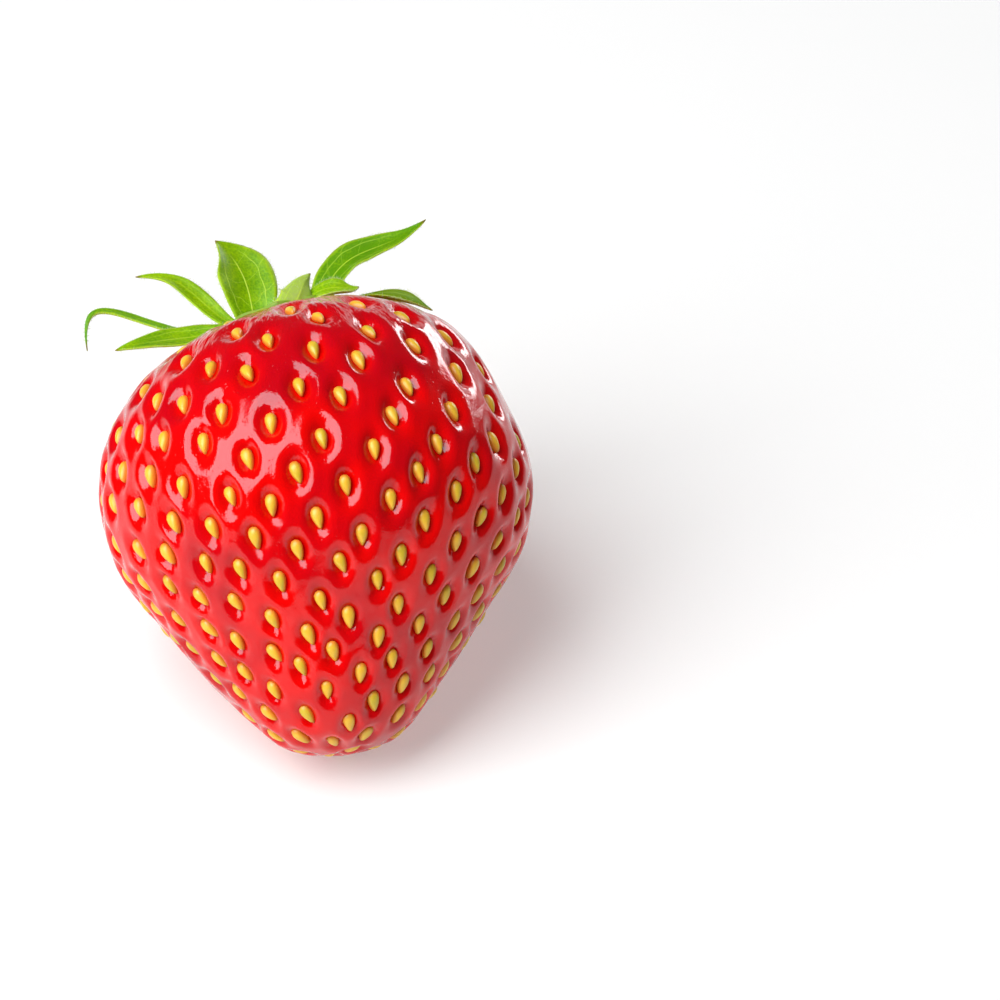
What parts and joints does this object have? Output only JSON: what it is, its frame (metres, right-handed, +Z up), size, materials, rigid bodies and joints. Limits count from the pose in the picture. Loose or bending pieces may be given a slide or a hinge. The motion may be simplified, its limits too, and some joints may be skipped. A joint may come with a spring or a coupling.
{
  "type": "strawberry",
  "caption": "Ripe heart-shaped strawberry lying on its flank, with pitted skin, raised seeds and a leafy green calyx.",
  "frame": {"origin": "middle of the small flat spot on the fruit's flank that it rests on", "axes": "+Z up; the fruit's axis leads from its tip to its calyx towards +Y, 35 degrees above the surface"},
  "size_m": [0.0364, 0.0422, 0.0336],
  "materials": {
    "skin": "glossy ripe red skin, with golden seeds in its pits",
    "sepals": "soft yellow-green leaf with fine pale veins and hairs, paler underneath"
  },
  "bodies": {
    "root": {"fruit": "skin", "calyx": "sepals"}
  },
  "joints": []
}
